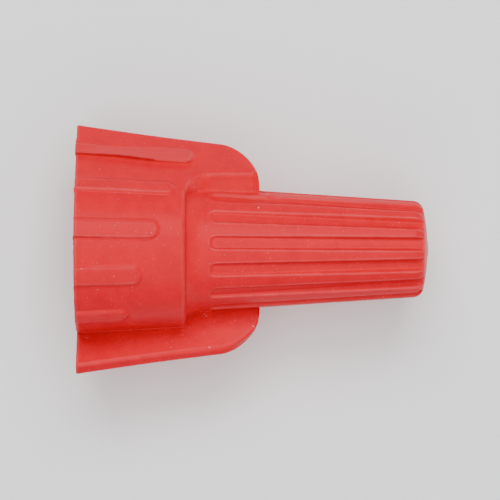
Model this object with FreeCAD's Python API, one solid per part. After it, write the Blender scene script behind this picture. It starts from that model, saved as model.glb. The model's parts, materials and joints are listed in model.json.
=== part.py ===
import FreeCAD, Part
import math
import os

from FreeCAD import Vector

# Frame: origin at the centre of the mouth, +X from the mouth to the closed tip,
# +Y out along one wing, +Z up with the wings lying flat. Millimetres.

LENGTH = 28.2
SKIRT_LENGTH = 8.85
SKIRT_R_MOUTH = 6.68
SKIRT_R_SHOULDER = 6.16
SHOULDER_ROUND = 0.4
SHOULDER_FACETS = 6
BARREL_R_SHOULDER = 5.05
BARREL_R_TIP = 3.87
TIP_PROFILE = [(26.95, BARREL_R_TIP), (27.4, 3.68), (27.7, 3.35), (27.82, 2.9), (28.08, 1.6)]
BARREL_ROOT = 2.0

BORE_R = 5.65
BORE_LENGTH = 5.8
SEAT_X = 8.0
SEAT_R = 4.0
CAVITY_END_X = 26.2
CAVITY_END_R = 2.65
CAVITY_CHAMFER = 0.4
PAST_MOUTH = 1.0

WING_TILT = math.radians(48.0)
WING_EDGE = [(0.0, 10.01), (3.91, 9.42), (7.79, 8.89), (11.66, 8.36)]
WING_CORNER = [(13.1, 7.87), (14.2, 6.85), (14.73, 5.0)]
WING_STATIONS = [(0.0, 10.01, 1.15, 46), (SKIRT_LENGTH, 8.75, 0.92, 30), (15.0, 7.9, 0.75, 21)]
WING_ROOT_Y = 3.6
WING_INSIDE = (3.1, 2.5)
WING_SPARE = 0.4
OUTLINE_ROOT_Y = 1.0
OUTLINE_ABOVE = 1.0
OUTLINE_DEPTH = 9.0
RECESS_Y = 6.35
RECESS_CORNER_R = 2.4
RECESS_FLOOR_Z = 1.95
RECESS_FILLET = 0.7
RECESS_LENGTH = 12.0
RECESS_PAST_AXIS = 3.0
RECESS_HEIGHT = 9.0

RIB_WIDTH = 1.5
RIB_HEIGHT = 0.25
RIBS = [(50.9, 8.0), (14.7, 6.75), (-18.8, 5.4), (-54.8, 4.35)]
WING_RIB_ENDS = [(0.0, 8.07), (8.7, 7.48)]
RIB_SINK = 0.4
RIB_ROOT_R = 5.95
RIB_BLOCK = 3.0
RAMP_PAD_WIDTH = 2.0
RAMP_PAD_SINK = 0.5

GROOVES = 14
GROOVE_FIRST = 6.06
GROOVE_WIDTH = 1.0
GROOVE_START = 10.4
GROOVE_TOP_R = 5.6
GROOVE_FLOOR = [(11.2, 4.68), (28.3, 3.28)]
GROOVE_END = 30.0

WIRE = 0.72
SPRING_START = 8.7
SPRING_END = 25.2
SPRING_PITCH = 1.45
SPRING_BITE = 0.05

SLOPE = (SKIRT_R_MOUTH - SKIRT_R_SHOULDER) / SKIRT_LENGTH
RAMP_NORMAL = Vector(SLOPE, math.sin(WING_TILT), math.cos(WING_TILT))
AXIS_X = Vector(1, 0, 0)
ORIGIN = Vector(0, 0, 0)


def skirt_radius(x):
    return SKIRT_R_MOUTH - SLOPE * x


def cavity_radius(x):
    share = (x - SEAT_X) / (CAVITY_END_X - SEAT_X)
    return SEAT_R + share * (CAVITY_END_R - SEAT_R)


def turned(points):
    """Solid of revolution about X from (x, r) corners that start and end on the axis."""
    corners = [Vector(x, 0, r) for x, r in points]
    outline = Part.makePolygon(corners + [corners[0]])
    return Part.Face(outline).revolve(ORIGIN, AXIS_X, 360)


def half_turned(shape):
    """Copy of a shape turned half a turn about the connector's axis."""
    twin = shape.copy()
    twin.rotate(ORIGIN, AXIS_X, 180)
    return twin


def skirt_profile(raised):
    """Skirt outline (x, r), with its rounded shoulder, raised outwards by a height."""
    top = skirt_radius(SKIRT_LENGTH) + raised
    points = [(0, 0), (0, SKIRT_R_MOUTH + raised)]
    for step in range(SHOULDER_FACETS + 1):
        turn = math.pi / 2 * (1 - step / SHOULDER_FACETS)
        points.append((
            SKIRT_LENGTH - SHOULDER_ROUND + SHOULDER_ROUND * math.cos(turn),
            top - SHOULDER_ROUND + SHOULDER_ROUND * math.sin(turn),
        ))
    return points + [(SKIRT_LENGTH, 0)]


def barrel():
    """Plain tapering barrel with its rounded, slightly domed tip."""
    root_x = SKIRT_LENGTH - BARREL_ROOT
    start = [(root_x, 0), (root_x, BARREL_R_SHOULDER), (SKIRT_LENGTH, BARREL_R_SHOULDER)]
    return turned(start + TIP_PROFILE + [(LENGTH, 0)])


def on_ramp(x, y, lift=0.0):
    """Point of the wing's outer plane, which is tangent to the skirt, lifted off it."""
    z = (skirt_radius(x) - y * math.sin(WING_TILT)) / math.cos(WING_TILT)
    return Vector(x, y, z) + RAMP_NORMAL * lift


def wing_outline():
    """Wing seen square to its outer plane, cut through the thickness both ways."""
    edge = [on_ramp(x, y) for x, y in WING_EDGE]
    corner = [on_ramp(x, y) for x, y in [WING_EDGE[-1]] + WING_CORNER]
    side = Part.BSplineCurve()
    side.interpolate(edge)
    end = Part.BSplineCurve()
    end.interpolate(corner)
    root = [on_ramp(WING_CORNER[-1][0], OUTLINE_ROOT_Y), on_ramp(0, OUTLINE_ROOT_Y)]
    back = Part.makePolygon([corner[-1]] + root + [edge[0]])
    wire = Part.Wire([side.toShape(), end.toShape()] + back.Edges)
    face = Part.Face(wire)
    face.translate(RAMP_NORMAL * OUTLINE_ABOVE)
    return face.extrude(RAMP_NORMAL * -OUTLINE_DEPTH)


def wing_section(x, tip_y, thickness, back_tilt):
    """Cross-section of the wing at one x, running on past its tip and its root."""
    inner_tip = on_ramp(x, tip_y) - RAMP_NORMAL * thickness
    fall = math.tan(math.radians(back_tilt))
    past_inner_tip = inner_tip + Vector(0, WING_SPARE, -WING_SPARE * fall)
    inner_root = inner_tip + Vector(0, WING_ROOT_Y - inner_tip.y, (inner_tip.y - WING_ROOT_Y) * fall)
    corners = [
        on_ramp(x, skirt_radius(x) * math.sin(WING_TILT)),
        on_ramp(x, tip_y + WING_SPARE),
        past_inner_tip,
        inner_root,
        Vector(x, *WING_INSIDE),
    ]
    for corner in corners:
        corner.x = x
    return Part.makePolygon(corners + [corners[0]])


def wing_slab():
    """Whole wing before its outline and its recess are cut."""
    sections = [wing_section(*station) for station in WING_STATIONS]
    return Part.makeLoft(sections, True, True)


def recess():
    """Room round the barrel beyond the shoulder: flat floor, rounded corner."""
    r = RECESS_CORNER_R
    x0 = SKIRT_LENGTH
    y1 = RECESS_Y
    x1 = x0 + RECESS_LENGTH
    inset = r * (1 - math.sqrt(0.5))
    middle = Vector(x0 + inset, y1 - inset, 0)
    corner = Part.Arc(Vector(x0, y1 - r, 0), middle, Vector(x0 + r, y1, 0)).toShape()
    rest = Part.makePolygon([
        Vector(x0 + r, y1, 0),
        Vector(x1, y1, 0),
        Vector(x1, -RECESS_PAST_AXIS, 0),
        Vector(x0, -RECESS_PAST_AXIS, 0),
        Vector(x0, y1 - r, 0),
    ])
    face = Part.Face(Part.Wire([corner] + rest.Edges))
    face.translate(Vector(0, 0, RECESS_FLOOR_Z))
    room = face.extrude(Vector(0, 0, RECESS_HEIGHT))
    halfway = RECESS_FLOOR_Z + RECESS_HEIGHT / 2
    floor = [edge for edge in room.Edges if edge.BoundBox.ZMax < halfway]
    return room.makeFillet(RECESS_FILLET, floor)


def wing():
    """One wing, joined to the body later."""
    return wing_slab().common(wing_outline()).cut(recess())


def bar(end, length, width):
    """Flat bar in the XY plane, running back along X from its half-round end."""
    half = width / 2
    tip = Part.Arc(
        Vector(end - half, half, 0), Vector(end, 0, 0), Vector(end - half, -half, 0)
    ).toShape()
    sides = Part.makePolygon([
        Vector(end - half, -half, 0),
        Vector(end - length, -half, 0),
        Vector(end - length, half, 0),
        Vector(end - half, half, 0),
    ])
    return Part.Face(Part.Wire([tip] + sides.Edges))


def skirt_rib(angle, end, raised_skirt):
    """Grip rib: a bar standing on the skirt at an angle from +Z towards +Y."""
    block = bar(end, end + PAST_MOUTH, RIB_WIDTH)
    block.translate(Vector(0, 0, RIB_ROOT_R))
    block = block.extrude(Vector(0, 0, RIB_BLOCK))
    block.rotate(ORIGIN, AXIS_X, -angle)
    return block.common(raised_skirt)


def wing_rib():
    """Grip rib lying on the wing's outer plane."""
    start = on_ramp(*WING_RIB_ENDS[0])
    end = on_ramp(*WING_RIB_ENDS[1])
    along = (end - start).normalize()
    across = RAMP_NORMAL.cross(along).normalize()
    length = (end - start).Length + RIB_WIDTH / 2
    block = bar(length, length + PAST_MOUTH, RIB_WIDTH)
    block = block.extrude(Vector(0, 0, RIB_HEIGHT + RIB_SINK))
    block.translate(Vector(0, 0, -RIB_SINK))
    turn = FreeCAD.Rotation(along, across, RAMP_NORMAL, "ZXY")
    block.Placement = FreeCAD.Placement(start, turn).multiply(block.Placement)
    return block


def ramp_lift():
    """The wing's outer plane raised by a rib's height, for the rib beside the tangent line."""
    sections = []
    for x in (0.0, SKIRT_LENGTH):
        tangent = skirt_radius(x) * math.sin(WING_TILT)
        low = on_ramp(x, tangent, -RAMP_PAD_SINK)
        far = on_ramp(x, tangent + RAMP_PAD_WIDTH, -RAMP_PAD_SINK)
        high = on_ramp(x, tangent + RAMP_PAD_WIDTH, RIB_HEIGHT)
        near = on_ramp(x, tangent, RIB_HEIGHT)
        corners = [low, far, high, near]
        for corner in corners:
            corner.x = x
        sections.append(Part.makePolygon(corners + [corners[0]]))
    return Part.makeLoft(sections, True, True)


def ribs():
    """All the grip ribs, each one twice, trimmed at the mouth."""
    raised_skirt = turned(skirt_profile(RIB_HEIGHT)).fuse(ramp_lift())
    corner = Vector(0, -LENGTH / 2, -LENGTH / 2)
    mouth_side = Part.makeBox(LENGTH, LENGTH, LENGTH, corner)
    side = [skirt_rib(angle, end, raised_skirt) for angle, end in RIBS]
    side.append(wing_rib().common(mouth_side))
    return side + [half_turned(rib) for rib in side]


def groove():
    """One flute of the barrel, square to +Z, with a sloping rounded start."""
    half = GROOVE_WIDTH / 2
    (x1, r1), (x2, r2) = GROOVE_FLOOR
    top = [(GROOVE_END, GROOVE_TOP_R), (GROOVE_START, GROOVE_TOP_R)]
    corners = [(x1, r1), (x2, r2), (GROOVE_END, r2)] + top
    points = [Vector(x, -half, r) for x, r in corners]
    side = Part.Face(Part.makePolygon(points + [points[0]]))
    return side.extrude(Vector(0, GROOVE_WIDTH, 0))


def grooves():
    """The flutes, evenly spaced round the barrel."""
    flutes = []
    for index in range(GROOVES):
        flute = groove()
        flute.rotate(ORIGIN, AXIS_X, -(GROOVE_FIRST + 360 / GROOVES * index))
        flutes.append(flute)
    return flutes


def hollow():
    """Bore for the wires' sleeves, funnel and tapered seat of the spring."""
    seat_end = CAVITY_END_X - CAVITY_CHAMFER
    return turned([
        (-PAST_MOUTH, 0),
        (-PAST_MOUTH, BORE_R),
        (BORE_LENGTH, BORE_R),
        (SEAT_X, SEAT_R),
        (seat_end, cavity_radius(seat_end)),
        (CAVITY_END_X, CAVITY_END_R - CAVITY_CHAMFER),
        (CAVITY_END_X, 0),
    ])


def shell():
    """The whole moulding."""
    body = turned(skirt_profile(0)).multiFuse([barrel()])
    body = body.cut(Part.makeCompound(grooves()))
    one_wing = wing()
    body = body.multiFuse([one_wing, half_turned(one_wing)] + ribs())
    body = body.cut(hollow())
    return body.removeSplitter()


def spring():
    """Conical coil of square wire set cornerwise, pressed against the bore."""
    rise = SPRING_END - SPRING_START
    half = WIRE / math.sqrt(2)
    start_r = cavity_radius(SPRING_START) + SPRING_BITE - half
    end_r = cavity_radius(SPRING_END) + SPRING_BITE - half
    cone = math.degrees(math.atan((start_r - end_r) / rise))
    helix = Part.makeHelix(SPRING_PITCH, rise, end_r, cone)
    middle = Vector(end_r, 0, 0)
    corners = [middle + Vector(half, 0, 0), middle + Vector(0, 0, half)]
    corners += [middle - Vector(half, 0, 0), middle - Vector(0, 0, half)]
    section = Part.makePolygon(corners + [corners[0]])
    coil = Part.Wire(helix.Edges).makePipeShell([section], True, True)
    coil.rotate(ORIGIN, Vector(0, 1, 0), -90)
    coil.translate(Vector(SPRING_END, 0, 0))
    return coil


def main():
    os.makedirs("parts", exist_ok=True)
    for name, shape in (("shell", shell()), ("spring", spring())):
        print(name, "solids", len(shape.Solids), "valid", shape.isValid(), "mm3", round(shape.Volume, 1))
        shape.Solids[0].exportStep("parts/" + name + ".step")


main()
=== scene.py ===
import json

import bmesh
import bpy
import numpy as np
from bpy.props import FloatProperty, FloatVectorProperty, IntProperty, PointerProperty
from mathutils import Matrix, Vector


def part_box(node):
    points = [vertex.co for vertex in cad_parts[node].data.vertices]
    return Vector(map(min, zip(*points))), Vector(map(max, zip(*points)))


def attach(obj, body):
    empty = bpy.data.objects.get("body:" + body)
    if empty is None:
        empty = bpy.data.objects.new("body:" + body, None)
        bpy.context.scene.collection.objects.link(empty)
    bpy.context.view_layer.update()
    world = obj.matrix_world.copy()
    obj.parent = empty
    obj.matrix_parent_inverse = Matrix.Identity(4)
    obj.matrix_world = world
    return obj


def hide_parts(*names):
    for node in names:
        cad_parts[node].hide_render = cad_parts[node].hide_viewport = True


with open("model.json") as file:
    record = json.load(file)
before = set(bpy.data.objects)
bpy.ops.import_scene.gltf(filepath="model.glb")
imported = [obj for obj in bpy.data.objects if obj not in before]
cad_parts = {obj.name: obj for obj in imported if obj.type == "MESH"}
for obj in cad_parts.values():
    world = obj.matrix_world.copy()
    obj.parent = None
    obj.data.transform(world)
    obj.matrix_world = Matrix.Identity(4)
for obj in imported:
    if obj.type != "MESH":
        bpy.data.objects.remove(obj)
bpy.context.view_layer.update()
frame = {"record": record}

bl_info = {
    "name": "Winged Wire Connector",
    "version": (1, 0, 0),
    "blender": (4, 5, 0),
    "location": "View3D > Sidebar > Connector",
    "description": "Builds a winged twist-on wire connector: moulded shell, wire spring and studio",
    "category": "Add Mesh",
}

MM = 0.001
SHELL_LOW, SHELL_HIGH = (np.array(corner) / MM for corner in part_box("shell"))
SPRING_LOW, SPRING_HIGH = (np.array(corner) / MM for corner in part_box("spring"))
MOUNTS = {mount["name"]: mount for mount in frame["record"]["mounts"]}
BORE_R = MOUNTS["wire_entry"]["dims"]["r_mm"]
BORE_LENGTH = MOUNTS["wire_entry"]["dims"]["length_mm"]

# The shell's plan, in millimetres along X from the mouth and out from the axis.
TIP_X = SHELL_HIGH[0]
SPAN = SHELL_HIGH[1]
SHOULDER_X = 8.85
SKIRT_R = (6.68, 6.16)
BARREL_R = (5.05, 3.87)
TIP_CORNER_X = 26.95
TIP_CORNER_R = 0.9
TIP_CORNER_TURN = np.radians(76.0)
SHOULDER_ROUND = 0.31
SHOULDER_FILLET = 0.78
SHOULDER_RUN = 1.35
SKIRT_SLOPE = (SKIRT_R[0] - SKIRT_R[1]) / SHOULDER_X
SHARP_STEP = 0.004

# Wings: slabs tangent to the skirt, leaning away from +Z by the tilt. Their reach flares by
# a line and a parabola, and their far corner is a quarter of an ellipse.
WING_TILT = np.radians(48.0)
RAMP_Y = np.sin(WING_TILT)
RAMP_Z = np.cos(WING_TILT)
WING_FLARE = (0.1575, 0.0018)
WING_CORNER_X = 11.53
WING_CORNER_LENGTH = 3.2
WING_CORNER_Y = 5.0
WING_STATIONS_X = (0.0, 8.85, 15.0)
WING_THICKNESS = (1.12, 0.92, 0.75)
WING_BACK_TILT = np.radians((46.0, 30.0, 21.0))
WING_WALL_X = 14.58
WING_END_X = WING_CORNER_X + WING_CORNER_LENGTH
WING_END_LEFT = 0.22
SQUARE_EDGE_Y = (6.0, 8.0)
SQUARE_EDGE_STRETCH = 0.49
EDGE_BLEND = 0.25
RIM_ROUND = 0.32
RIM_SPARE = 0.10

# Recess in each wing, round the barrel beyond the shoulder, and the hollow rounds behind it.
RECESS_Y = 6.42
RECESS_CORNER_R = 2.7
RECESS_COVE = 1.7
RECESS_TILT = 0.12
RECESS_ROLL = 0.13
RECESS_ROLL_Y = 6.2
RECESS_FALL = 0.2
RECESS_FALL_X = (WING_WALL_X - 0.55, WING_WALL_X + 0.1)
RECESS_EDGE = 0.30
CREASE_ROUND = 0.13
COVE_ROUND = 0.20
COVE_X = (9.0, 10.2)
COVE_DEPTH = (0.3, 0.7)
HOLLOW_DEPTH = (0.1, 0.6)
LEAST_ROUND = 0.002

# Grip ribs: angle from +Z towards +Y and round on to the wing, x where it ends, and 1 where
# the top leans. The rib nearest the wing's root runs over both the skirt and the wing's plane.
SKIRT_RIBS = ((-54.8, 4.35, 0.0), (-18.8, 5.4, 0.0), (14.7, 6.75, 0.0), (50.9, 8.0, 0.0))
WING_RIBS = ((50.9, 8.0, 0.0), (88.0, 9.45, 1.0))
RIB_HALF_WIDTH = 0.76
WAIST_X = (0.0, 1.6, 3.4, 5.0, 6.8)
WAIST_HALF_WIDTH = (0.60, 0.54, 0.50, 0.62, 0.76)
LEAN_X = (0.6, 2.4)
LEAN_AT_MOUTH = 0.4
LEAN_GROWTH = 0.45
STEEPEST_DRAW = 1.3
DRAW_TURN = 0.2

# Flutes of the barrel.
FLUTE_COUNT = 14
FLUTE_FIRST = np.radians(6.06)
FLUTE_START = 10.85
FLUTE_CORNER = 0.3
FLUTE_START_SLOPE = 0.6
FLUTE_FLOOR_X = (11.2, 28.3)
FLUTE_FLOOR_R = (4.68, 3.28)
SECTOR = 2 * np.pi / FLUTE_COUNT

# Mouth, tip and inside. Each nub of flash has its place and width in degrees and its height.
# The coil's middle line ends COIL_END inside the spring's box, to a tenth of a millimetre.
RIM_X = 0.20
RIM_EDGE = 0.12
FLASH = ((7.5, 1.2, 0.08), (4.0, 1.0, 0.04), (-2.0, 2.5, 0.03), (-28.0, 1.5, 0.05),
         (21.5, 1.0, 0.06), (44.5, 1.5, 0.05), (-62.0, 1.5, 0.05), (-40.0, 4.0, 0.02))
RIM_FLAT = 0.08
FLASH_ROOT = 0.4
GATE_HEIGHT = 0.04
GATE_Y = -0.15
GATE_R = (0.45, 0.68)
SEAT_X = (8.0, 26.2)
SEAT_R = (4.0, 2.65)
BORE_ROWS_X = (0.6, BORE_LENGTH - 0.12)
SEAT_ROWS_X = (SEAT_X[0] + 0.1, SEAT_X[1] - 0.5)
BORE_END = ((0.06, -0.05), (0.2, -0.15))
SEAT_START = ((-0.3, 0.2), (-0.1, 0.06))
SEAT_END = ((-0.15, -0.08), (0.0, -0.4))
SEAT_FLOOR_R = (1.6, 0.8)
SEAT_BULGE = (0.02, 0.03)
COIL_END = 0.49
SPRING_X = np.round((SPRING_LOW[0] + COIL_END, SPRING_HIGH[0] - COIL_END), 1)
SPRING_BITE = 0.05
WIRE_CORNERS = 16
WIRE_SQUARENESS = 1.25

# Lines that find the shell's surface. Steps round one flute, as shares of a sector; where the
# rows change their spacing; shares of a wing's lines on its outer plane, tip and inner face;
# and where the lines crowd, lift or tilt.
HALF_FLUTE = (0.09, 0.17, 0.20, 0.215, 0.23, 0.245, 0.26, 0.28, 0.32, 0.38, 0.44)
FLUTE_STEPS = (-0.5, *(-step for step in reversed(HALF_FLUTE)), 0.0, *HALF_FLUTE)
FLUTE_SHARE = 0.23
FLUTE_LINES_X = (9.0, 10.6)
FLUTE_SPREAD = 1.8
LEAST_STEP = 0.03
LEAST_TURN = 1e-5
TAPER_GAIN = 1.03
RIB_ROWS_X = 3.4
WING_ROWS_X = (11.4, 13.6)
TIP_ROWS_X = 26.0
SKIRT_END_BAND = 0.22
BODY_START = 0.6
LOWEST_ANGLE = np.radians(-95.0)
ROOT_ANGLE = np.radians(-90.6)
CROWDING = 5.0
CROWD_WIDTH = 0.016
CROWD_SAMPLES = 4000
WING_LINES = 116
WING_SHARES = (0.50, 0.16, 0.21)
OUTER_SHARES = (0.0, 0.28, 0.46, 0.60, 0.78, 1.0)
RIB_EDGE_BAND = 0.14
RECESS_STEPS = (0.0, 2.0, 2.5, 2.9, 3.3, 9.0)
RECESS_SHARES = (0.0, 0.50, 0.62, 0.72, 0.85, 1.0)
RECESS_LINES_X = (9.2, 11.0)
TIP_INSET = 0.30
WIDE_TIP_INSET = 0.40
WIDE_TIP_Y = (5.5, 7.5)
TIP_HIGHEST = 0.95
TIP_BLEND = 0.3
LIFT_R = 3.4
LIFT_STEPS = (2.4, 3.3)
TILT_STEPS = (3.1, 3.7)
TILT_FROM_TIP = (0.7, 1.5)
TILT_X = (11.0, 9.6)
TILTED_LINE = np.radians(8.0)
START_DEPTH = 0.45
EXIT_STEP = 0.12
EXIT_STEPS = 64
EXIT_HALVINGS = 14
BORE_LINES = 128

# Painted highlight on small edges: how sharply they bend, in radians a millimetre, and how much
# paler the painted highlight makes them.
EDGE_BEND = (1.3, 6.0)
EDGE_HIGHLIGHT_LIFT = 0.036
LEAST_RUN = 1e-4

# Scales of the textures of plastic, wire and floor.
GRAIN_SCALE = 4600.0
SPECK_SCALE = 3600.0
SCUFF_SCALE = 1700.0
CLOUD_SCALE = 900.0
SINK_SCALE = 420.0
PATCH_SCALE = 1500.0
SCRATCH_SCALE = 9000.0
MOTTLE_SCALE = 60.0

# Studio: name, place in metres from the connector's middle, size and power.
STUDIO_LIGHTS = (
    ("upper_softbox", (0.0, 0.40, 0.55), (0.5, 0.26), 3.6),
    ("lower_softbox", (0.0, -0.44, 0.50), (0.5, 0.24), 1.2),
    ("tip_softbox", (0.50, 0.0, 0.32), (0.3, 0.3), 0.5),
    ("ceiling_panel", (0.0, 0.0, 0.9), (0.9, 0.9), 6.2),
)
WORLD_STRENGTH = 0.25
FLOOR_REACH = 1.5
SENSOR_WIDTH = 36.0
VIEW_X = 13.96
VIEW_Y = -0.07


class ShellSizes(bpy.types.PropertyGroup):
    rib_height: FloatProperty(
        name="Rib height", description="How far the grip ribs stand off the skirt",
        default=0.25 * MM, min=0.0, max=0.5 * MM, precision=5, unit="LENGTH")
    flute_width: FloatProperty(
        name="Flute width", description="Width of each channel along the barrel",
        default=1.0 * MM, min=0.4 * MM, max=1.5 * MM, precision=5, unit="LENGTH")
    edge_round: FloatProperty(
        name="Edge rounding", description="Softness of the moulded edges",
        default=0.085 * MM, min=0.03 * MM, max=0.25 * MM, precision=5, unit="LENGTH")
    red: FloatVectorProperty(
        name="Plastic", description="Colour of the moulded shell",
        default=(0.68, 0.001, 0.014), min=0.0, max=1.0, subtype="COLOR")


class SpringSizes(bpy.types.PropertyGroup):
    wire: FloatProperty(
        name="Wire", description="Width of the square spring wire",
        default=0.72 * MM, min=0.3 * MM, max=1.0 * MM, precision=5, unit="LENGTH")
    pitch: FloatProperty(
        name="Pitch", description="Advance of the coil in one turn",
        default=1.45 * MM, min=1.2 * MM, max=3.0 * MM, precision=5, unit="LENGTH")
    steps: IntProperty(
        name="Steps", description="Facets in each turn of the coil", default=72, min=24, max=120)
    zinc: FloatVectorProperty(
        name="Zinc plating", description="Colour of the plated wire",
        default=(0.62, 0.62, 0.60), min=0.0, max=1.0, subtype="COLOR")


class StudioSizes(bpy.types.PropertyGroup):
    distance: FloatProperty(
        name="Camera distance", description="Height of the camera over the connector's axis",
        default=0.36, min=0.1, max=2.0, unit="LENGTH", subtype="DISTANCE")
    frame_width: FloatProperty(
        name="Frame width", description="Width of the picture at the connector's axis",
        default=40.0 * MM, min=0.02, max=0.2, precision=5, unit="LENGTH")
    floor: FloatVectorProperty(
        name="Floor", description="Colour of the floor", default=(0.95, 0.95, 0.95),
        min=0.0, max=1.0, subtype="COLOR")


# ---------------------------------------------------------------- shape functions


def eased(low, high, value):
    """Runs from 0 at low to 1 at high along 3t^2 - 2t^3; low may be the larger."""
    t = np.clip((value - low) / (high - low), 0.0, 1.0)
    return t * t * (3.0 - 2.0 * t)


def soft_min(a, b, round_over):
    """Smaller of a and b, with a parabola of the given width where they cross."""
    h = np.clip(0.5 + 0.5 * (b - a) / round_over, 0.0, 1.0)
    return b + (a - b) * h - round_over * h * (1.0 - h)


def soft_max(a, b, round_over):
    return -soft_min(-a, -b, round_over)


def skirt_radius(x):
    return SKIRT_R[0] - SKIRT_SLOPE * x


def barrel_radius(x):
    """Straight taper, then a quarter round into the tip."""
    taper = np.interp(x, (SHOULDER_X, TIP_CORNER_X), BARREL_R)
    past = np.clip(x - TIP_CORNER_X, 0.0, TIP_CORNER_R)
    return taper - TIP_CORNER_R + np.sqrt(TIP_CORNER_R ** 2 - past ** 2)


def rib_half_width(x, lean):
    """Half the width of a rib. The leaning rib on the wing narrows towards the mouth."""
    return RIB_HALF_WIDTH + lean * (np.interp(x, WAIST_X, WAIST_HALF_WIDTH) - RIB_HALF_WIDTH)


def draw_side(angle, far):
    """How much the side of a rib or flute leans, since the mould halves part along Z: 0 on
    one side, rising with the slope of the surface on the other."""
    slope = np.minimum(np.abs(np.tan(angle)), STEEPEST_DRAW)
    return slope * eased(-DRAW_TURN, DRAW_TURN, far * np.sign(np.tan(angle)))


def rib_relief(x, girth, sizes, ribs, drawn):
    """Height of the ribs. Each is a bar with a half-round end, found as the distance to a
    line segment along x; girth is the angle round the skirt, carried on along the wing.
    Drawn is 1 where the ribs' far sides lean so that they leave the mould."""
    height = 0.0 * x * girth
    for degrees, end, lean in ribs:
        centre = np.radians(degrees)
        across = (girth - centre) * skirt_radius(x)
        half = rib_half_width(x, lean)
        past_end = np.maximum(x - (end - RIB_HALF_WIDTH), 0.0)
        inside = half - np.hypot(across, past_end)
        most = lean * (LEAN_AT_MOUTH + LEAN_GROWTH * eased(*LEAN_X, x))
        tilt = most * np.clip(across / half, -1.0, 1.0)
        run = sizes.edge_round + drawn * sizes.rib_height * draw_side(centre, across)
        height = height + eased(-sizes.edge_round, run, inside) * sizes.rib_height * (1.0 - tilt)
    return height


def flute_relief(x, angle, sizes):
    """Depth of the flutes: a sloping floor line below the barrel, inside rounded channels."""
    nearest = np.round((angle - FLUTE_FIRST) / SECTOR) * SECTOR + FLUTE_FIRST
    across = (angle - nearest) * barrel_radius(x)
    over_side = np.maximum(np.abs(across) - 0.5 * sizes.flute_width + FLUTE_CORNER, 0.0)
    over_start = np.maximum(FLUTE_CORNER - FLUTE_START_SLOPE * (x - FLUTE_START), 0.0)
    inside = FLUTE_CORNER - np.hypot(over_side, over_start)
    floor = np.interp(x, FLUTE_FLOOR_X, FLUTE_FLOOR_R)
    depth = np.maximum(barrel_radius(x) - floor, 0.0)
    run = sizes.edge_round + depth * draw_side(nearest, -across)
    return depth * eased(-sizes.edge_round, run, inside)


def plain_radius(x):
    """Skirt with a rounded shoulder, stepping down by a hollow round to the barrel."""
    past = np.clip(x - (SHOULDER_X - SHOULDER_ROUND), 0.0, SHOULDER_ROUND)
    skirt = skirt_radius(x) - SHOULDER_ROUND + np.sqrt(SHOULDER_ROUND ** 2 - past ** 2)
    gap = np.clip(1.0 - (x - SHOULDER_X) / SHOULDER_RUN, 0.0, 1.0)
    fillet = SHOULDER_FILLET * (1.0 - np.sqrt(1.0 - gap ** 2))
    return np.where(x <= SHOULDER_X, skirt, barrel_radius(x) + fillet)


def body_radius(x, angle, sizes):
    """Plain radius with the skirt's ribs added and the barrel's flutes taken off."""
    relief = np.where(x <= SHOULDER_X, rib_relief(x, angle, sizes, SKIRT_RIBS, 1.0),
                      -flute_relief(x, angle, sizes))
    return plain_radius(x) + relief


def wing_reach(x):
    """Half-width over the wings: a gentle flare towards the mouth."""
    return SPAN - WING_FLARE[0] * x + WING_FLARE[1] * x ** 2


def ramp_height(x, y):
    """Z of the wing's outer plane, tangent to the skirt."""
    return (skirt_radius(x) - RAMP_Y * y) / RAMP_Z


def back_face(x):
    """A point (y, z) and the tilt of the wing's inner face, and the wing's thickness."""
    thickness = np.interp(x, WING_STATIONS_X, WING_THICKNESS)
    tilt = np.interp(x, WING_STATIONS_X, WING_BACK_TILT)
    reach = wing_reach(x)
    y = reach - RAMP_Y * thickness
    z = ramp_height(x, reach) - RAMP_Z * thickness
    return y, z, tilt, thickness


def wing_outside(x, y, z, sizes):
    """Signed distance to the upper wing, and the size of the hollow round where it meets the
    body. The slab lies between the outer plane and the twisting inner face, inside its rounded
    outline, less the recess that leaves room for fingers round the barrel."""
    along = y * RAMP_Z - z * RAMP_Y
    girth = WING_TILT + (y / skirt_radius(x) - RAMP_Y) / RAMP_Z
    relief = rib_relief(x, girth, sizes, WING_RIBS, 0.0)
    outer = y * RAMP_Y + z * RAMP_Z - skirt_radius(x) - relief
    back_y, back_z, tilt, _ = back_face(x)
    inner = -((y - back_y) * np.sin(tilt) + (z - back_z) * np.cos(tilt))
    square = eased(*SQUARE_EDGE_Y, y)
    edge_y = y - outer * RAMP_Y * square
    past_x = np.maximum(x - WING_CORNER_X, 0.0) / WING_CORNER_LENGTH
    half_width = wing_reach(x) + RIM_SPARE - WING_CORNER_Y
    past_y = np.maximum(edge_y - WING_CORNER_Y, 0.0) / half_width
    scale = half_width * (1.0 + SQUARE_EDGE_STRETCH * square)
    outline = (np.hypot(past_x, past_y) - 1.0) * scale
    slab = soft_max(soft_max(outer, inner, EDGE_BLEND), outline, RIM_ROUND)
    slab = np.maximum(slab, -along)
    floor = ramp_height(x, RECESS_Y) + RECESS_TILT * (RECESS_Y - y) - z
    floor = floor - RECESS_FALL * eased(*RECESS_FALL_X, x)
    floor = floor - RECESS_ROLL * np.maximum(RECESS_ROLL_Y - y, 0.0) ** 2
    corner_x = np.maximum(SHOULDER_X + RECESS_CORNER_R - x, 0.0)
    corner_y = np.maximum(y - RECESS_Y + RECESS_CORNER_R, 0.0)
    plan = np.hypot(corner_x, corner_y) - RECESS_CORNER_R
    recess = soft_max(floor, plan, RECESS_COVE)
    cove = eased(*COVE_DEPTH, -inner) * eased(*COVE_X, x)
    hollow = CREASE_ROUND + (COVE_ROUND - CREASE_ROUND) * cove
    hollow = hollow * eased(*HOLLOW_DEPTH, -outer) + LEAST_ROUND
    return soft_max(slab, -recess, RECESS_EDGE), hollow


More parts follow.
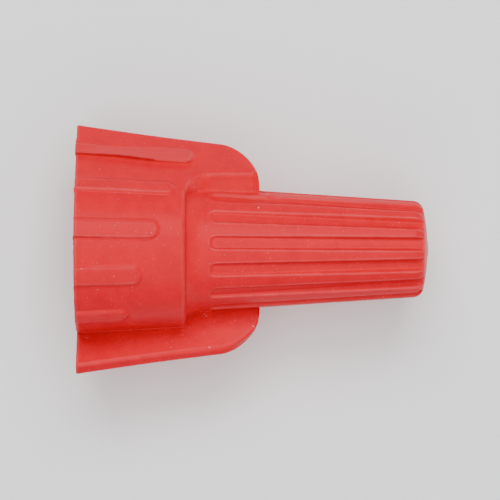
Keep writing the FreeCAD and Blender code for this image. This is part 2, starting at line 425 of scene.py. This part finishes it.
def shell_outside(x, y, z, sizes):
    """Distance outside the moulding, its bore taken as filled: the smaller of the body's and
    both wings', with a hollow round in the creases behind the wings."""
    angle = np.arctan2(y, z)
    body = np.hypot(y, z) - body_radius(x, angle, sizes)
    for side in (1.0, -1.0):
        wing, hollow = wing_outside(x, side * y, side * z, sizes)
        body = soft_min(body, wing, hollow)
    return body


# ---------------------------------------------------------------- grid of lines


def clustered(low, high, marks, count):
    """Count values from low to high, crowded near the marks: equal steps of a running sum
    whose density has a bump at each mark."""
    fine = np.linspace(low, high, CROWD_SAMPLES)
    density = np.ones_like(fine)
    for mark in marks:
        density += CROWDING * np.exp(-((fine - mark) / CROWD_WIDTH) ** 2)
    total = np.concatenate(([0.0], np.cumsum(0.5 * (density[1:] + density[:-1]))))
    return np.interp(np.linspace(0.0, total[-1], count), total, fine)


def flute_angles(steps, x, sizes):
    """Angles on the barrel for even steps round it, squeezed so that the same steps follow
    the flutes' edges as the barrel tapers."""
    whole = np.round(steps)
    part = steps - whole
    half = 0.5 * sizes.flute_width / barrel_radius(x)
    inner = part / FLUTE_SHARE * half
    past = (np.abs(part) - FLUTE_SHARE) / (0.5 - FLUTE_SHARE)
    outer = np.sign(part) * (half + past * (0.5 * SECTOR - half))
    return FLUTE_FIRST + whole * SECTOR + np.where(np.abs(part) < FLUTE_SHARE, inner, outer)


def crease_centre(x):
    """Centre of the hollow round between the body and the wing's inner face."""
    radius = plain_radius(x) + CREASE_ROUND
    back_y, back_z, tilt, _ = back_face(x)
    offset = back_y * np.sin(tilt) + back_z * np.cos(tilt) - CREASE_ROUND
    run = np.sqrt(radius ** 2 - offset ** 2)
    return offset * np.sin(tilt) + run * np.cos(tilt), offset * np.cos(tilt) - run * np.sin(tilt)


def outer_steps(x, tip_s, count):
    """Distances along the wing's outer plane for its lines, crowded at the edges of the rib
    and, past the rib, in the recess."""
    middle = (np.radians(WING_RIBS[-1][0]) - WING_TILT) * skirt_radius(x)
    half = rib_half_width(x, 1.0)
    low_edge, high_edge = middle - half, middle + half
    knots = np.concatenate((0.0 * x, low_edge - RIB_EDGE_BAND, low_edge + RIB_EDGE_BAND,
                            high_edge - RIB_EDGE_BAND, high_edge + RIB_EDGE_BAND, tip_s), axis=1)
    recess = np.minimum(RECESS_STEPS, tip_s * np.array(RECESS_SHARES))
    knots = knots + (recess - knots) * eased(*RECESS_LINES_X, x)
    share = np.linspace(0.0, 1.0, count, endpoint=False)
    place = np.interp(share, OUTER_SHARES, np.arange(len(OUTER_SHARES)))
    low = place.astype(int)
    return knots[:, low] + (place - low) * (knots[:, low + 1] - knots[:, low])


def wing_lines(x, count):
    """Start points and directions of the lines that find the wing's surface at each x: out
    along the outer plane, round the tip, back along the inner face and round the crease."""
    n_out, n_tip, n_back = (int(count * share) for share in WING_SHARES)
    n_crease = count - n_out - n_tip - n_back
    back_y, back_z, tilt, thickness = back_face(x)
    past = np.clip((x - WING_CORNER_X) / WING_CORNER_LENGTH, 0.0, 1.0)
    reach = WING_CORNER_Y + (wing_reach(x) - WING_CORNER_Y) * np.sqrt(1.0 - past ** 2)
    tip_y = reach - TIP_INSET - WIDE_TIP_INSET * eased(*WIDE_TIP_Y, reach)
    middle = ramp_height(x, tip_y) - 0.5 * thickness / RAMP_Z
    tip_z = soft_min(middle, np.full_like(x, TIP_HIGHEST), TIP_BLEND)
    tip_s = tip_y * RAMP_Z - tip_z * RAMP_Y
    crease_y, crease_z = crease_centre(x)
    back_angle = np.pi + tilt
    crease_angle = np.arctan2(crease_y, crease_z)

    s = outer_steps(x, tip_s, n_out)
    high = skirt_radius(x) - 0.5 * thickness
    lift = LIFT_R + (high - LIFT_R) * eased(*LIFT_STEPS, s)
    over_rib = eased(*TILT_STEPS, s) * eased(*TILT_FROM_TIP, tip_s - s) * eased(*TILT_X, x)
    tilt_back = over_rib * (WING_TILT - TILTED_LINE)
    s = s + (skirt_radius(x) - lift) * np.tan(tilt_back)
    out = (s * RAMP_Z + lift * RAMP_Y, -s * RAMP_Y + lift * RAMP_Z, WING_TILT - tilt_back)

    turn = WING_TILT + np.linspace(0.0, 1.0, n_tip)[None, :] * (back_angle - WING_TILT)
    tip = (tip_y + 0.0 * turn, tip_z + 0.0 * turn, turn)

    along_y, along_z = np.cos(tilt), -np.sin(tilt)
    q_tip = tip_y * along_y + tip_z * along_z
    q_crease = crease_y * along_y + crease_z * along_z
    share = np.linspace(0.0, 1.0, n_back + 2)[None, 1:-1]
    q = q_tip + share * (q_crease - q_tip)
    tip_depth = (tip_y - back_y) * np.sin(tilt) + (tip_z - back_z) * np.cos(tilt)
    depth = tip_depth + share * (START_DEPTH - tip_depth)
    offset = back_y * np.sin(tilt) + back_z * np.cos(tilt) + depth
    back = (q * along_y + offset * np.sin(tilt), q * along_z + offset * np.cos(tilt),
            back_angle + 0.0 * q)

    share = np.linspace(0.0, 1.0, n_crease, endpoint=False)[None, :]
    turn = back_angle + share * (crease_angle - back_angle)
    reach_in = CREASE_ROUND + START_DEPTH
    crease = (crease_y - reach_in * np.sin(turn), crease_z - reach_in * np.cos(turn), turn)
    parts = [np.concatenate(group, axis=1) for group in zip(out, tip, back, crease)]
    return parts[0], parts[1], parts[2]


def first_exit(x, y, z, angle, sizes):
    """Where lines that start inside the shell first leave it: short steps, then halving."""
    near = np.zeros_like(y)
    still_in = np.ones(y.shape, bool)
    dy, dz = np.sin(angle), np.cos(angle)
    for _ in range(EXIT_STEPS):
        ahead = near + EXIT_STEP
        outside = shell_outside(x, y + ahead * dy, z + ahead * dz, sizes) > 0.0
        still_in &= ~outside
        near = np.where(still_in, ahead, near)
        if not still_in.any():
            break
    far = near + EXIT_STEP
    for _ in range(EXIT_HALVINGS):
        middle = 0.5 * (near + far)
        inside = shell_outside(x, y + middle * dy, z + middle * dz, sizes) <= 0.0
        near = np.where(inside, middle, near)
        far = np.where(inside, far, middle)
    return y + near * dy, z + near * dz


def body_angles(x, grid, sizes):
    """Angles of the body's lines from the lower crease to the upper wing. On the skirt they
    crowd at the ribs' edges and on the barrel they follow the flutes' edges, eased from one
    to the other between the shoulder and the flutes."""
    crease_y, crease_z = crease_centre(x)
    low = np.arctan2(crease_y, crease_z) - np.pi
    share = (grid["skirt"] - grid["skirt"][0]) / (WING_TILT - grid["skirt"][0])
    skirt = low + share[None, :] * (WING_TILT - low)
    barrel = flute_angles(grid["body"][None, :], x, sizes)
    near_low = 1.0 - eased(0.0, SKIRT_END_BAND, barrel - barrel[:, :1])
    near_high = 1.0 - eased(0.0, SKIRT_END_BAND, barrel[:, -1:] - barrel)
    barrel = barrel + near_low * (low - barrel[:, :1]) + near_high * (WING_TILT - barrel[:, -1:])
    return skirt + (barrel - skirt) * eased(*FLUTE_LINES_X, x)


def winged_rows(x, grid, sizes):
    """Half of each cross-section that has a wing: y, z and the directions of its lines."""
    angle = body_angles(x, grid, sizes)[:, :-1]
    start = BODY_START * barrel_radius(x)
    y, z, turn = wing_lines(x, grid["wing"].size)
    y = np.concatenate((start * np.sin(angle), y), axis=1)
    z = np.concatenate((start * np.cos(angle), z), axis=1)
    turn = np.concatenate((angle, turn), axis=1)
    y, z = first_exit(x + 0.0 * y, y, z, turn, sizes)
    return y, z, turn


def wing_end_rows(y, z, sizes):
    """Closes the wing's end. The last winged section shrinks on to the barrel while x runs
    on round the end of the outline, an ellipse."""
    angle = np.maximum.accumulate(np.arctan2(y, z) + LEAST_TURN * np.arange(y.size))
    ray = np.array((np.sin(angle), np.cos(angle)))
    stand = np.array((y, z)) - ray * body_radius(WING_WALL_X, angle, sizes)
    first = np.arccos((WING_WALL_X - WING_CORNER_X) / WING_CORNER_LENGTH)
    turn = first * np.linspace(1.0, 0.0, 6)[1:]
    x = WING_CORNER_X + WING_CORNER_LENGTH * np.cos(turn)
    left = WING_END_LEFT + (1.0 - WING_END_LEFT) * np.sin(turn) / np.sin(first)
    x = np.append(x, WING_END_X + SHARP_STEP)
    left = np.append(left, 0.0)
    radius = body_radius(x[:, None], angle[None, :], sizes)
    rows = radius[None] * ray[:, None, :] + left[None, :, None] * stand[:, None, :]
    return x[:, None], rows[0], rows[1], angle


def barrel_rows(x, first_angle, grid, sizes):
    """Half sections of the plain barrel. The lines spread from where the wing's end left them
    to even steps that follow the flutes."""
    steps = np.concatenate((grid["body"][:-1], grid["wing"]))
    target = flute_angles(steps[None, :], x, sizes)
    angle = first_angle + (target - first_angle) * eased(WING_END_X, WING_END_X + FLUTE_SPREAD, x)
    radius = body_radius(x, angle, sizes)
    return radius * np.sin(angle), radius * np.cos(angle)


def dome_rows(y, z, x_edge):
    """Closes the tip: the last ring shrinks to the axis over a shallow dome, with the small
    round stub that the moulding gate leaves."""
    share = np.linspace(1.0, 0.0, 12, endpoint=False)[1:, None]
    y, z = y * share, z * share
    dome = (TIP_X - GATE_HEIGHT - x_edge) / (y[0, 0] ** 2 + z[0, 0] ** 2) * share[0] ** 2
    x = TIP_X - GATE_HEIGHT - dome * (y ** 2 + z ** 2)
    from_gate = np.hypot(y - GATE_Y, z)
    return x + GATE_HEIGHT * (1.0 - eased(*GATE_R, from_gate)), y, z


def row_places():
    """X of the winged rows, crowded round the ribs' ends, the shoulder and the wing's end."""
    round_in = np.sin(np.linspace(0.0, 0.5 * np.pi, 8))[:-1] * SHOULDER_ROUND
    round_out = (1.0 - np.cos(np.linspace(0.0, 0.5 * np.pi, 15)))[1:] * SHOULDER_RUN
    end = SHOULDER_X + SHOULDER_RUN
    return np.concatenate((
        np.linspace(RIM_X, RIB_ROWS_X, 18, endpoint=False),
        np.linspace(RIB_ROWS_X, SHOULDER_X - SHOULDER_ROUND, 40, endpoint=False),
        SHOULDER_X - SHOULDER_ROUND + round_in,
        (SHOULDER_X - SHARP_STEP, SHOULDER_X + SHARP_STEP),
        SHOULDER_X + round_out,
        np.linspace(end, WING_ROWS_X[0], 14)[1:],
        np.linspace(*WING_ROWS_X, 13)[1:],
        np.linspace(WING_ROWS_X[1], WING_WALL_X, 11)[1:],
    ))[:, None]


def shell_grid(sizes):
    """Whole outer surface as three arrays, one row per ring from the mouth to the tip, and
    the directions of the first ring's lines."""
    body = np.concatenate([k + np.array(FLUTE_STEPS) for k in range(-5, 4)])
    ends = (np.array((ROOT_ANGLE, WING_TILT)) - FLUTE_FIRST) / SECTOR
    inner = body[(body > ends[0] + LEAST_STEP) & (body < ends[1] - LEAST_STEP)]
    body = np.concatenate((ends[:1], inner, ends[1:]))
    wing = np.linspace(ends[1], ends[0] + FLUTE_COUNT / 2, WING_LINES, endpoint=False)
    half = RIB_HALF_WIDTH / SKIRT_R[0] * TAPER_GAIN
    marks = [np.radians(rib[0]) + side * half for rib in SKIRT_RIBS for side in (-1, 1)]
    marks = [mark for mark in marks if mark < WING_TILT]
    grid = {"body": body, "wing": wing}
    grid["skirt"] = clustered(LOWEST_ANGLE, WING_TILT, marks, body.size)

    x = row_places()
    y, z, turn = winged_rows(x, grid, sizes)
    end_x, end_y, end_z, angle = wing_end_rows(y[-1], z[-1], sizes)
    corner = np.sin(np.linspace(0.0, TIP_CORNER_TURN, 12)) * TIP_CORNER_R
    far_x = np.concatenate((
        np.linspace(WING_END_X, WING_END_X + FLUTE_SPREAD, 12)[1:],
        np.linspace(WING_END_X + FLUTE_SPREAD, TIP_ROWS_X, 14)[1:],
        np.linspace(TIP_ROWS_X, TIP_CORNER_X, 5)[1:-1],
        TIP_CORNER_X + corner,
    ))[:, None]
    far_y, far_z = barrel_rows(far_x, angle[None, :], grid, sizes)
    tip_x, tip_y, tip_z = dome_rows(far_y[-1], far_z[-1], far_x[-1, 0])
    wide = np.ones(y.shape[1])[None, :]
    xs = np.concatenate((x * wide, end_x * wide, far_x * wide, tip_x))
    ys = np.concatenate((y, end_y, far_y, tip_y))
    zs = np.concatenate((z, end_z, far_z, tip_z))
    return xs, ys, zs, turn[0]


def rim_rows(y, z, turn):
    """Rounds the outer edge of the mouth: the first ring drawn in along its own lines. Small
    nubs of flash stand out of it."""
    bend = np.linspace(0.0, 0.5 * np.pi, 5)[1:, None]
    inset = np.append(RIM_EDGE * (1.0 - np.cos(bend)), [[RIM_EDGE + RIM_FLAT]], axis=0)
    places = np.append(RIM_X - RIM_EDGE * np.sin(bend), [[RIM_X - RIM_EDGE]], axis=0)
    rows_y = y - inset * np.sin(turn)
    rows_z = z - inset * np.cos(turn)
    flash = sum(tall * np.exp(-((np.degrees(turn) - at) / wide) ** 2) for at, wide, tall in FLASH)
    lifted = np.append(np.sin(bend), [[FLASH_ROOT]], axis=0)
    return (places - flash * lifted)[::-1], rows_y[::-1], rows_z[::-1]


def bore_rows():
    """Inside of the shell: (x, r) along the bore, the funnel and the spring's seat, each edge
    doubled so that it stays crisp, turned about the axis."""
    mouth = RIM_X - RIM_EDGE
    bend = np.linspace(0.0, 0.5 * np.pi, 5)
    edge_x = mouth + RIM_EDGE * (1.0 - np.cos(bend))
    edge_r = BORE_R + RIM_EDGE * (1.0 - np.sin(bend))
    profile = [(mouth, BORE_R + RIM_EDGE + RIM_FLAT), *zip(edge_x, edge_r)]
    profile += [(x, BORE_R) for x in np.linspace(*BORE_ROWS_X, 8)]
    profile += [(BORE_LENGTH + x, BORE_R + r) for x, r in BORE_END]
    profile += [(SEAT_X[0] + x, SEAT_R[0] + r) for x, r in SEAT_START]
    seat = np.linspace(*SEAT_ROWS_X, 14)
    profile += list(zip(seat, np.interp(seat, SEAT_X, SEAT_R)))
    profile += [(SEAT_X[1] + x, SEAT_R[1] + r) for x, r in SEAT_END]
    profile += [(SEAT_X[1] + SEAT_BULGE[0], r) for r in SEAT_FLOOR_R]
    x, r = np.array(profile).T
    angle = np.linspace(0.0, 2 * np.pi, BORE_LINES, endpoint=False)
    return x[:, None] + 0.0 * angle, r[:, None] * np.sin(angle), r[:, None] * np.cos(angle)


# ---------------------------------------------------------------- meshes


def ring_faces(rows, columns, start=0):
    """Four-sided faces of a grid whose rows are closed rings."""
    row, column = np.meshgrid(np.arange(rows - 1), np.arange(columns), indexing="ij")
    after = (column + 1) % columns
    corners = (row * columns + column, row * columns + after,
               (row + 1) * columns + after, (row + 1) * columns + column)
    return start + np.stack(corners, axis=-1).reshape(-1, 4)


def new_piece(name, points, quads, fans, material):
    """Makes a mesh object from points in millimetres, four-sided faces and fans of triangles
    given as (ring of point numbers, middle point), and rides it on the connector."""
    mesh = bpy.data.meshes.new(name)
    faces = quads.tolist()
    for ring, middle in fans:
        faces += np.stack((ring, np.roll(ring, -1), np.full_like(ring, middle)), axis=-1).tolist()
    mesh.from_pydata((points * MM).tolist(), [], faces)
    piece = bpy.data.objects.new(name, mesh)
    bpy.context.collection.objects.link(piece)
    mesh.materials.append(material)
    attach(piece, "root")
    return piece


def finish_mesh(mesh):
    """Fills the flat face between the open loops, if any, turns every face outwards and
    shades the surface smooth."""
    work = bmesh.new()
    work.from_mesh(mesh)
    open_edges = [edge for edge in work.edges if edge.is_boundary]
    if open_edges:
        bmesh.ops.triangle_fill(work, use_beauty=True, edges=open_edges)
    bmesh.ops.recalc_face_normals(work, faces=work.faces)
    work.to_mesh(mesh)
    work.free()
    mesh.shade_smooth()


def mark_edges(mesh):
    """Stores on each point how sharply the surface bends outwards there: the turn of the normal
    along a mesh edge over the edge's length, 0 on gentle faces and 1 on small rounds. The shell's
    material paints a highlight along these small rounds."""
    points = np.empty(3 * len(mesh.vertices))
    normals = np.empty_like(points)
    ends = np.empty(2 * len(mesh.edges), np.int32)
    mesh.vertices.foreach_get("co", points)
    mesh.vertices.foreach_get("normal", normals)
    mesh.edges.foreach_get("vertices", ends)
    a, b = ends.reshape(-1, 2).T
    run = (points.reshape(-1, 3)[a] - points.reshape(-1, 3)[b]) / MM
    turn = normals.reshape(-1, 3)[a] - normals.reshape(-1, 3)[b]
    bend = (turn * run).sum(axis=1) / np.maximum((run ** 2).sum(axis=1), LEAST_RUN)
    sharp = np.zeros(len(mesh.vertices))
    np.maximum.at(sharp, a, bend)
    np.maximum.at(sharp, b, bend)
    layer = mesh.attributes.new("edge", "FLOAT", "POINT")
    layer.data.foreach_set("value", eased(*EDGE_BEND, sharp).astype(np.float32))


# ---------------------------------------------------------------- materials


def node_tree(name):
    material = bpy.data.materials.new(name)
    material.use_nodes = True
    nodes, links = material.node_tree.nodes, material.node_tree.links
    shader = nodes["Principled BSDF"]
    place = nodes.new("ShaderNodeTexCoord").outputs["Object"]
    return material, nodes, links, shader, place


def noise(nodes, links, place, scale, detail, rough=0.5):
    texture = nodes.new("ShaderNodeTexNoise")
    texture.inputs["Scale"].default_value = scale
    texture.inputs["Detail"].default_value = detail
    texture.inputs["Roughness"].default_value = rough
    links.new(place, texture.inputs["Vector"])
    return texture.outputs["Fac"]


def ranged(nodes, links, value, low, high, to_low, to_high):
    reach = nodes.new("ShaderNodeMapRange")
    for socket, number in zip(("From Min", "From Max", "To Min", "To Max"),
                              (low, high, to_low, to_high)):
        reach.inputs[socket].default_value = number
    links.new(value, reach.inputs["Value"])
    return reach.outputs["Result"]


def bumped(nodes, links, height, distance, strength, under=None):
    bump = nodes.new("ShaderNodeBump")
    bump.inputs["Distance"].default_value = distance
    bump.inputs["Strength"].default_value = strength
    links.new(height, bump.inputs["Height"])
    if under is not None:
        links.new(under, bump.inputs["Normal"])
    return bump.outputs["Normal"]


def blended(nodes, links, factor, below, above):
    """Mixes two colours, each a fixed tuple or another node's output, by the factor."""
    mix = nodes.new("ShaderNodeMix")
    mix.data_type = "RGBA"
    links.new(factor, mix.inputs["Factor"])
    for socket, colour in (("A", below), ("B", above)):
        if isinstance(colour, tuple):
            mix.inputs[socket].default_value = (*colour, 1.0)
        else:
            links.new(colour, mix.inputs[socket])
    return mix.outputs["Result"]


def shaded(colour, gain, lift=0.0):
    return tuple(min(gain * part + lift, 1.0) for part in colour)


def specks(nodes, links, place, scale, radius, share):
    """1 inside small round specks, one in the middle of some cells of a cell pattern."""
    cells = nodes.new("ShaderNodeTexVoronoi")
    cells.inputs["Scale"].default_value = scale
    links.new(place, cells.inputs["Vector"])
    lot = nodes.new("ShaderNodeSeparateColor")
    links.new(cells.outputs["Color"], lot.inputs["Color"])
    both = nodes.new("ShaderNodeMath")
    both.operation = "MULTIPLY"
    links.new(ranged(nodes, links, cells.outputs["Distance"], 0.6 * radius, radius, 1.0, 0.0),
              both.inputs[0])
    links.new(ranged(nodes, links, lot.outputs["Red"], 1.0 - share, 1.0, 0.0, 1.0), both.inputs[1])
    return both.outputs["Value"]


def moulded_plastic(colour):
    """Satin moulded plastic: an eroded grain with pale specks in it, a faint sink and cloudiness, a
    few small scuffs, and a painted highlight that makes small rounded edges paler."""
    material, nodes, links, shader, place = node_tree("moulded_plastic")
    shader.inputs["IOR"].default_value = 1.49
    shader.inputs["Specular IOR Level"].default_value = 0.11
    grain = noise(nodes, links, place, GRAIN_SCALE, 2.0)
    sink = noise(nodes, links, place, SINK_SCALE, 1.0)
    cloud = noise(nodes, links, place, CLOUD_SCALE, 3.0, 0.6)
    speck = specks(nodes, links, place, SPECK_SCALE, 0.22, 0.45)
    scrape = noise(nodes, links, place, SCUFF_SCALE, 2.0, 0.4)
    scuff = ranged(nodes, links, scrape, 0.755, 0.785, 0.0, 1.0)
    normal = bumped(nodes, links, sink, 0.06 * MM, 0.25)
    normal = bumped(nodes, links, grain, 0.012 * MM, 1.0, normal)
    normal = bumped(nodes, links, scuff, 0.02 * MM, 0.5, normal)
    links.new(normal, shader.inputs["Normal"])
    links.new(ranged(nodes, links, cloud, 0.3, 0.7, 0.34, 0.46), shader.inputs["Roughness"])
    shade = ranged(nodes, links, cloud, 0.3, 0.7, 0.0, 1.0)
    base = blended(nodes, links, shade, shaded(colour, 0.93), shaded(colour, 1.05))
    base = blended(nodes, links, ranged(nodes, links, speck, 0.0, 1.0, 0.0, 0.45), base,
                   shaded(colour, 1.0, 0.14))
    base = blended(nodes, links, ranged(nodes, links, scuff, 0.0, 1.0, 0.0, 0.55), base,
                   shaded(colour, 1.0, 0.22))
    # Painted highlight: small rounded edges are made paler, more so where the cloudiness is high.
    edge = nodes.new("ShaderNodeAttribute")
    edge.attribute_name = "edge"
    edge_highlight = nodes.new("ShaderNodeMath")
    edge_highlight.operation = "MULTIPLY"
    links.new(edge.outputs["Fac"], edge_highlight.inputs[0])
    links.new(ranged(nodes, links, cloud, 0.35, 0.65, 0.5, 1.0), edge_highlight.inputs[1])
    base = blended(nodes, links, edge_highlight.outputs["Value"], base, shaded(colour, 1.0, EDGE_HIGHLIGHT_LIFT))
    links.new(base, shader.inputs["Base Color"])
    return material


def zinc_wire(colour):
    """Zinc-plated drawn wire: bright, with dull patches and fine scratches."""
    material, nodes, links, shader, place = node_tree("zinc_wire")
    shader.inputs["Metallic"].default_value = 1.0
    patch = noise(nodes, links, place, PATCH_SCALE, 4.0, 0.6)
    links.new(ranged(nodes, links, patch, 0.3, 0.7, 0.24, 0.42), shader.inputs["Roughness"])
    scratch = noise(nodes, links, place, SCRATCH_SCALE, 2.0)
    normal = bumped(nodes, links, scratch, 0.006 * MM, 0.5)
    links.new(normal, shader.inputs["Normal"])
    links.new(blended(nodes, links, patch, shaded(colour, 0.8), shaded(colour, 1.0)),
              shader.inputs["Base Color"])
    return material


def floor_board(colour):
    """Matt pale board."""
    material, nodes, links, shader, place = node_tree("floor_board")
    shader.inputs["Roughness"].default_value = 0.9
    shader.inputs["Specular IOR Level"].default_value = 0.1
    mottle = noise(nodes, links, place, MOTTLE_SCALE, 3.0)
    links.new(blended(nodes, links, mottle, shaded(colour, 0.985), shaded(colour, 1.0)),
              shader.inputs["Base Color"])
    return material


# ---------------------------------------------------------------- operators


class ShellInMillimetres:
    """The shell's sizes as plain numbers."""

    def __init__(self, settings):
        self.rib_height = settings.rib_height / MM
        self.flute_width = settings.flute_width / MM
        self.edge_round = settings.edge_round / MM


class ADD_OT_connector_shell(bpy.types.Operator):
    """Build the moulded shell: skirt, wings, ribs, fluted barrel and bore"""
    bl_idname = "connector.add_shell"
    bl_label = "Moulded Shell"

    def execute(self, context):
        settings = context.scene.connector_shell
        sizes = ShellInMillimetres(settings)
        x, y, z, turn = shell_grid(sizes)
        rim = rim_rows(y[0], z[0], turn)
        x, y, z = (np.concatenate(pair) for pair in zip(rim, (x, y, z)))
        x, y, z = np.hstack((x, x)), np.hstack((y, -y)), np.hstack((z, -z))
        bore = np.stack(bore_rows(), axis=-1)
        outer = np.stack((x, y, z), axis=-1)
        count = outer.shape[0] * outer.shape[1]
        points = np.concatenate((outer.reshape(-1, 3), bore.reshape(-1, 3),
                                 [(TIP_X, 0.0, 0.0), (SEAT_X[1] + SEAT_BULGE[1], 0.0, 0.0)]))
        quads = np.concatenate((ring_faces(*outer.shape[:2]), ring_faces(*bore.shape[:2], count)))
        tip_ring = count - outer.shape[1] + np.arange(outer.shape[1])
        end_ring = len(points) - 2 - bore.shape[1] + np.arange(bore.shape[1])
        fans = ((tip_ring, len(points) - 2), (end_ring, len(points) - 1))
        shell = new_piece("moulded_shell", points, quads, fans,
                          moulded_plastic(settings.red))
        finish_mesh(shell.data)
        mark_edges(shell.data)
        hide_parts("shell")
        return {"FINISHED"}


class ADD_OT_connector_spring(bpy.types.Operator):
    """Build the conical spring of square wire inside the shell"""
    bl_idname = "connector.add_spring"
    bl_label = "Wire Spring"

    def execute(self, context):
        settings = context.scene.connector_spring
        wire, pitch = settings.wire / MM, settings.pitch / MM
        turns = (SPRING_X[1] - SPRING_X[0]) / pitch
        turn = 2 * np.pi * np.linspace(0.0, turns, int(turns * settings.steps))[:, None]
        along = SPRING_X[1] - pitch * turn / (2 * np.pi)
        half = wire / np.sqrt(2.0)
        radius = np.interp(along, SEAT_X, SEAT_R) + SPRING_BITE - half
        corner = np.linspace(0.0, 2 * np.pi, WIRE_CORNERS, endpoint=False)[None, :]
        power = WIRE_SQUARENESS
        lobe = np.abs(np.cos(corner)) ** power + np.abs(np.sin(corner)) ** power
        lobe = half * lobe ** (-1.0 / power)
        out = radius + lobe * np.cos(corner)
        axial = along + lobe * np.sin(corner)
        points = np.stack((axial, out * np.sin(turn), out * np.cos(turn)), axis=-1)
        rows, columns = points.shape[:2]
        ends = np.array([points[0].mean(axis=0), points[-1].mean(axis=0)])
        points = np.concatenate((points.reshape(-1, 3), ends))
        first = np.arange(columns)
        fans = ((first, rows * columns), (first + (rows - 1) * columns, rows * columns + 1))
        spring = new_piece("wire_spring", points, ring_faces(rows, columns), fans,
                           zinc_wire(settings.zinc))
        finish_mesh(spring.data)
        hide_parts("spring")
        return {"FINISHED"}


class ADD_OT_connector_studio(bpy.types.Operator):
    """Build the pale floor, the soft lights and the camera"""
    bl_idname = "connector.add_studio"
    bl_label = "Studio"

    def execute(self, context):
        settings = context.scene.connector_studio
        low = SHELL_LOW[2] * MM
        mesh = bpy.data.meshes.new("floor")
        signs = ((-1, -1), (1, -1), (1, 1), (-1, 1))
        corners = [(FLOOR_REACH * a, FLOOR_REACH * b, low) for a, b in signs]
        mesh.from_pydata(corners, [], [(0, 1, 2, 3)])
        mesh.materials.append(floor_board(settings.floor))
        floor = bpy.data.objects.new("floor", mesh)
        context.collection.objects.link(floor)

        middle = Vector((0.5 * (SHELL_LOW[0] + SHELL_HIGH[0]) * MM, 0.0, 0.0))
        for name, place, size, power in STUDIO_LIGHTS:
            data = bpy.data.lights.new(name, "AREA")
            data.shape = "RECTANGLE"
            data.size, data.size_y = size
            data.energy = power
            light = bpy.data.objects.new(name, data)
            light.location = middle + Vector(place)
            light.rotation_euler = (-Vector(place)).to_track_quat("-Z", "Y").to_euler()
            context.collection.objects.link(light)
        world = bpy.data.worlds.new("studio")
        world.use_nodes = True
        world.node_tree.nodes["Background"].inputs["Color"].default_value = (1.0, 1.0, 1.0, 1.0)
        world.node_tree.nodes["Background"].inputs["Strength"].default_value = WORLD_STRENGTH
        context.scene.world = world

        data = bpy.data.cameras.new("camera")
        data.sensor_width = SENSOR_WIDTH
        data.lens = SENSOR_WIDTH * settings.distance / settings.frame_width
        data.clip_start = 0.01
        camera = bpy.data.objects.new("camera", data)
        camera.location = (VIEW_X * MM, VIEW_Y * MM, settings.distance)
        context.collection.objects.link(camera)
        context.scene.camera = camera
        return {"FINISHED"}


class VIEW3D_PT_connector(bpy.types.Panel):
    """Sizes of the connector and a button for each piece"""
    bl_label = "Winged Wire Connector"
    bl_space_type = "VIEW_3D"
    bl_region_type = "UI"
    bl_category = "Connector"

    def draw(self, context):
        groups = (
            (context.scene.connector_shell, ADD_OT_connector_shell),
            (context.scene.connector_spring, ADD_OT_connector_spring),
            (context.scene.connector_studio, ADD_OT_connector_studio),
        )
        for settings, operator in groups:
            column = self.layout.column(align=True)
            for name in settings.bl_rna.properties.keys():
                if name not in ("rna_type", "name"):
                    column.prop(settings, name)
            column.operator(operator.bl_idname)


CLASSES = (
    ShellSizes, SpringSizes, StudioSizes, ADD_OT_connector_shell, ADD_OT_connector_spring,
    ADD_OT_connector_studio, VIEW3D_PT_connector,
)


def register():
    for item in CLASSES:
        bpy.utils.register_class(item)
    bpy.types.Scene.connector_shell = PointerProperty(type=ShellSizes)
    bpy.types.Scene.connector_spring = PointerProperty(type=SpringSizes)
    bpy.types.Scene.connector_studio = PointerProperty(type=StudioSizes)


def unregister():
    del bpy.types.Scene.connector_studio
    del bpy.types.Scene.connector_spring
    del bpy.types.Scene.connector_shell
    for item in reversed(CLASSES):
        bpy.utils.unregister_class(item)


def main():
    register()
    bpy.ops.connector.add_shell()
    bpy.ops.connector.add_spring()
    bpy.ops.connector.add_studio()


if __name__ == "__main__":
    main()
